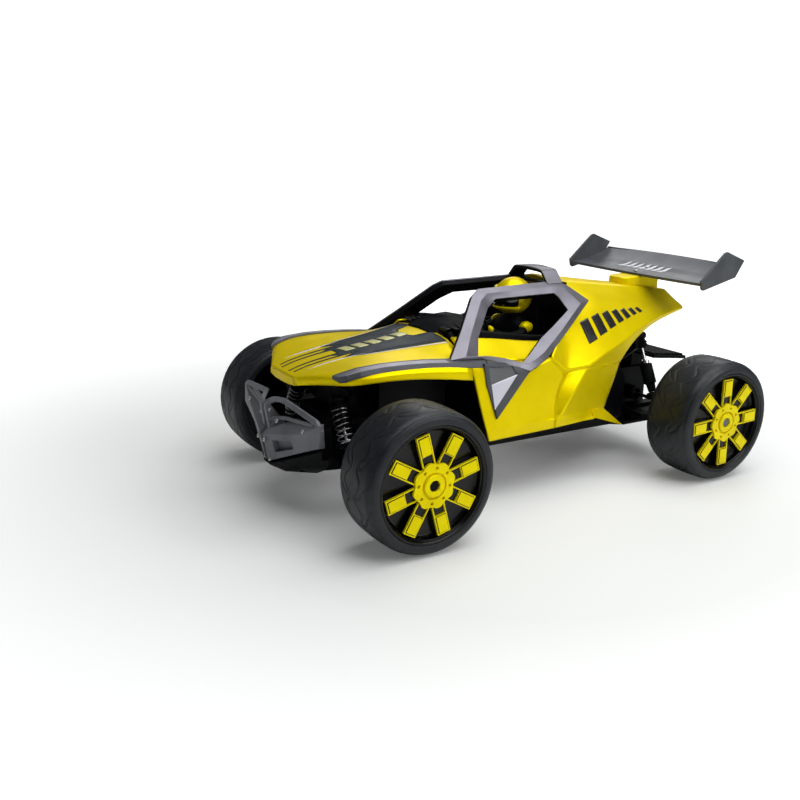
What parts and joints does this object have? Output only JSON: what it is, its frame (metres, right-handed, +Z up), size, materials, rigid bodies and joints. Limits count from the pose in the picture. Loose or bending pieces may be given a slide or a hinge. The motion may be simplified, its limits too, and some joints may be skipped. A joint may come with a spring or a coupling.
{
  "type": "radio controlled buggy",
  "caption": "Radio-controlled off-road buggy with open cockpit, roll cage, rear wing, sprung suspension, steering and geared rear drive.",
  "frame": {"origin": "on the ground under the centre of the car", "axes": "+X forward to the bumper, +Y to the car's left, +Z up"},
  "size_m": [0.462, 0.302, 0.208],
  "materials": {
    "body_yellow": "pearl gloss yellow moulding",
    "cage_silver": "silver painted plastic, satin",
    "wing_grey": "dark grey satin plastic",
    "bumper_grey": "dark grey satin plastic",
    "black_plastic": "black moulded plastic",
    "steel": "bright steel",
    "motor_can": "plated motor can",
    "nylon_white": "natural nylon gear",
    "brass": "machined brass",
    "battery_wrap": "blue shrink wrap",
    "driver_suit": "yellow helmet, black suit",
    "tyre_rubber": "moulded rubber, fine grooves",
    "rim_black": "gloss black",
    "spoke_yellow": "metallic yellow"
  },
  "bodies": {
    "chassis": {"chassis_tub": "black_plastic", "front_bulkhead": "black_plastic", "gearbox_case": "black_plastic", "front_bumper": "bumper_grey", "body_shell": "body_yellow", "rear_cowl": "body_yellow", "roll_cage": "cage_silver", "cockpit_tub": "black_plastic", "driver_figure": "driver_suit", "rear_wing": "wing_grey", "servo": "black_plastic", "drive_motor": "motor_can", "battery_pack": "battery_wrap", "screws": "steel"},
    "front_arm_l": {"front_lower_arm_l": "black_plastic"},
    "front_link_l": {"front_upper_arm_l": "black_plastic"},
    "front_hub_l": {"steering_hub_l": "black_plastic"},
    "front_knuckle_l": {"knuckle_l": "black_plastic"},
    "front_wheel_l": {"tyre_fl": "tyre_rubber", "rim_fl": "rim_black", "spokes_fl": "spoke_yellow"},
    "front_shock_l": {"front_shock_body_l": "black_plastic", "front_spring_l": "steel"},
    "front_rod_l": {"front_shock_rod_l": "steel"},
    "tie_rod_l": {"tie_rod_l": "black_plastic"},
    "rear_arm_l": {"rear_arm_l": "black_plastic"},
    "rear_wheel_l": {"tyre_rl": "tyre_rubber", "rim_rl": "rim_black", "spokes_rl": "spoke_yellow", "rear_axle_l": "steel", "dogbone_l": "steel"},
    "rear_shock_l": {"rear_shock_rod_l": "steel", "rear_spring_l": "steel"},
    "rear_damper_l": {"rear_shock_body_l": "black_plastic"},
    "front_arm_r": {"front_lower_arm_r": "black_plastic"},
    "front_link_r": {"front_upper_arm_r": "black_plastic"},
    "front_hub_r": {"steering_hub_r": "black_plastic"},
    "front_knuckle_r": {"knuckle_r": "black_plastic"},
    "front_wheel_r": {"tyre_fr": "tyre_rubber", "rim_fr": "rim_black", "spokes_fr": "spoke_yellow"},
    "front_shock_r": {"front_shock_body_r": "black_plastic", "front_spring_r": "steel"},
    "front_rod_r": {"front_shock_rod_r": "steel"},
    "tie_rod_r": {"tie_rod_r": "black_plastic"},
    "rear_arm_r": {"rear_arm_r": "black_plastic"},
    "rear_wheel_r": {"tyre_rr": "tyre_rubber", "rim_rr": "rim_black", "spokes_rr": "spoke_yellow", "rear_axle_r": "steel", "dogbone_r": "steel"},
    "rear_shock_r": {"rear_shock_rod_r": "steel", "rear_spring_r": "steel"},
    "rear_damper_r": {"rear_shock_body_r": "black_plastic"},
    "steering_bar": {"steering_bar": "black_plastic"},
    "servo_horn": {"servo_horn": "black_plastic"},
    "diff_gear": {"diff_gear": "nylon_white"},
    "motor_pinion": {"motor_pinion": "brass"},
    "battery_cover": {"battery_cover": "black_plastic"},
    "power_switch": {"power_switch": "black_plastic"}
  },
  "joints": [
    {"name": "front_arm_l", "type": "hinge", "parent": "chassis", "child": "front_arm_l", "pos_m": [0.156, 0.026, 0.044], "axis": [1, 0, 0], "range_deg": [0, 12], "stiffness_Nm_per_rad": 3.5, "springref_deg": -6.88},
    {"name": "front_link_l", "type": "hinge", "parent": "chassis", "child": "front_link_l", "pos_m": [0.156, 0.026, 0.072], "axis": [1, 0, 0], "range_deg": [0, 12]},
    {"name": "front_hub_l", "type": "hinge", "parent": "front_arm_l", "child": "front_hub_l", "pos_m": [0.156, 0.076, 0.044], "axis": [1, 0, 0], "range_deg": [-12, 0]},
    {"name": "steer_l", "type": "hinge", "parent": "front_hub_l", "child": "front_knuckle_l", "pos_m": [0.156, 0.088, 0.057], "axis": [0, 0, 1], "range_deg": [-20, 20]},
    {"name": "front_wheel_l", "type": "hinge", "parent": "front_knuckle_l", "child": "front_wheel_l", "pos_m": [0.156, 0.126, 0.057], "axis": [0, 1, 0], "continuous": true},
    {"name": "front_shock_l", "type": "hinge", "parent": "chassis", "child": "front_shock_l", "pos_m": [0.1785, 0.035, 0.097], "axis": [1, 0, 0], "range_deg": [0, 1.4]},
    {"name": "front_rod_l", "type": "slide", "parent": "front_shock_l", "child": "front_rod_l", "axis": [0, -0.5206, 0.8538], "range_m": [0, 0.0076], "deforming": ["front_spring_l"]},
    {"name": "rear_arm_l", "type": "hinge", "parent": "chassis", "child": "rear_arm_l", "pos_m": [-0.174, 0.03, 0.044], "axis": [1, 0, 0], "range_deg": [0, 10], "stiffness_Nm_per_rad": 6, "springref_deg": -8.59},
    {"name": "rear_wheel_l", "type": "hinge", "parent": "rear_arm_l", "child": "rear_wheel_l", "pos_m": [-0.174, 0.115, 0.057], "axis": [0, 1, 0], "continuous": true},
    {"name": "rear_shock_l", "type": "hinge", "parent": "chassis", "child": "rear_shock_l", "pos_m": [-0.158, 0.035, 0.121], "axis": [1, 0, 0], "range_deg": [-1.6, 0]},
    {"name": "rear_damper_l", "type": "slide", "parent": "rear_shock_l", "child": "rear_damper_l", "axis": [0, -0.4407, 0.8977], "range_m": [0, 0.0067], "deforming": ["rear_spring_l"]},
    {"name": "front_arm_r", "type": "hinge", "parent": "chassis", "child": "front_arm_r", "pos_m": [0.156, -0.026, 0.044], "axis": [-1, 0, 0], "range_deg": [0, 12], "stiffness_Nm_per_rad": 3.5, "springref_deg": -6.88},
    {"name": "front_link_r", "type": "hinge", "parent": "chassis", "child": "front_link_r", "pos_m": [0.156, -0.026, 0.072], "axis": [-1, 0, 0], "range_deg": [0, 12]},
    {"name": "front_hub_r", "type": "hinge", "parent": "front_arm_r", "child": "front_hub_r", "pos_m": [0.156, -0.076, 0.044], "axis": [-1, 0, 0], "range_deg": [-12, 0]},
    {"name": "steer_r", "type": "hinge", "parent": "front_hub_r", "child": "front_knuckle_r", "pos_m": [0.156, -0.088, 0.057], "axis": [0, 0, 1], "range_deg": [-20, 20]},
    {"name": "front_wheel_r", "type": "hinge", "parent": "front_knuckle_r", "child": "front_wheel_r", "pos_m": [0.156, -0.126, 0.057], "axis": [0, 1, 0], "continuous": true},
    {"name": "front_shock_r", "type": "hinge", "parent": "chassis", "child": "front_shock_r", "pos_m": [0.1785, -0.035, 0.097], "axis": [-1, 0, 0], "range_deg": [0, 1.4]},
    {"name": "front_rod_r", "type": "slide", "parent": "front_shock_r", "child": "front_rod_r", "axis": [0, 0.5206, 0.8538], "range_m": [0, 0.0076], "deforming": ["front_spring_r"]},
    {"name": "rear_arm_r", "type": "hinge", "parent": "chassis", "child": "rear_arm_r", "pos_m": [-0.174, -0.03, 0.044], "axis": [-1, 0, 0], "range_deg": [0, 10], "stiffness_Nm_per_rad": 6, "springref_deg": -8.59},
    {"name": "rear_wheel_r", "type": "hinge", "parent": "rear_arm_r", "child": "rear_wheel_r", "pos_m": [-0.174, -0.115, 0.057], "axis": [0, 1, 0], "continuous": true},
    {"name": "rear_shock_r", "type": "hinge", "parent": "chassis", "child": "rear_shock_r", "pos_m": [-0.158, -0.035, 0.121], "axis": [-1, 0, 0], "range_deg": [-1.6, 0]},
    {"name": "rear_damper_r", "type": "slide", "parent": "rear_shock_r", "child": "rear_damper_r", "axis": [0, 0.4407, 0.8977], "range_m": [0, 0.0067], "deforming": ["rear_spring_r"]},
    {"name": "steering_bar", "type": "slide", "parent": "chassis", "child": "steering_bar", "axis": [0, -1, 0], "range_m": [-0.0063, 0.0063]},
    {"name": "tie_rod_l", "type": "hinge", "parent": "steering_bar", "child": "tie_rod_l", "pos_m": [0.138, 0.038, 0.0615], "axis": [1, 0, 0], "range_deg": [0, 12]},
    {"name": "tie_rod_r", "type": "hinge", "parent": "steering_bar", "child": "tie_rod_r", "pos_m": [0.138, -0.038, 0.0615], "axis": [-1, 0, 0], "range_deg": [0, 12]},
    {"name": "servo_horn", "type": "hinge", "parent": "chassis", "child": "servo_horn", "pos_m": [0.12, 0, 0.0545], "axis": [0, 0, 1], "range_deg": [-20, 20]},
    {"name": "diff_gear", "type": "hinge", "parent": "chassis", "child": "diff_gear", "pos_m": [-0.174, 0, 0.057], "axis": [0, 1, 0], "continuous": true},
    {"name": "motor_pinion", "type": "hinge", "parent": "chassis", "child": "motor_pinion", "pos_m": [-0.15148, 0, 0.07], "axis": [0, 1, 0], "continuous": true},
    {"name": "battery_cover", "type": "slide", "parent": "chassis", "child": "battery_cover", "axis": [0, 0, -1], "range_m": [0, 0.02]},
    {"name": "power_switch", "type": "slide", "parent": "chassis", "child": "power_switch", "axis": [1, 0, 0], "range_m": [0, 0.004]}
  ],
  "couplings": [
    {"joint": "front_link_l", "follows": "front_arm_l", "ratio": 1},
    {"joint": "front_hub_l", "follows": "front_arm_l", "ratio": -1},
    {"joint": "front_shock_l", "follows": "front_arm_l", "ratio": 0.10435},
    {"joint": "front_rod_l", "follows": "front_arm_l", "m_per_rad": 0.035697},
    {"joint": "tie_rod_l", "follows": "front_arm_l", "ratio": 1},
    {"joint": "rear_shock_l", "follows": "rear_arm_l", "ratio": -0.15041},
    {"joint": "rear_damper_l", "follows": "rear_arm_l", "m_per_rad": 0.03776},
    {"joint": "front_link_r", "follows": "front_arm_r", "ratio": 1},
    {"joint": "front_hub_r", "follows": "front_arm_r", "ratio": -1},
    {"joint": "steer_r", "follows": "steer_l", "ratio": 1},
    {"joint": "front_shock_r", "follows": "front_arm_r", "ratio": 0.10435},
    {"joint": "front_rod_r", "follows": "front_arm_r", "m_per_rad": 0.035697},
    {"joint": "tie_rod_r", "follows": "front_arm_r", "ratio": 1},
    {"joint": "rear_wheel_r", "follows": "rear_wheel_l", "ratio": 1},
    {"joint": "rear_shock_r", "follows": "rear_arm_r", "ratio": -0.15041},
    {"joint": "rear_damper_r", "follows": "rear_arm_r", "m_per_rad": 0.03776},
    {"joint": "steering_bar", "follows": "steer_l", "m_per_rad": 0.0177},
    {"joint": "servo_horn", "follows": "steer_l", "ratio": -1},
    {"joint": "diff_gear", "follows": "rear_wheel_l", "ratio": 1},
    {"joint": "motor_pinion", "follows": "rear_wheel_l", "ratio": -3.3333}
  ]
}
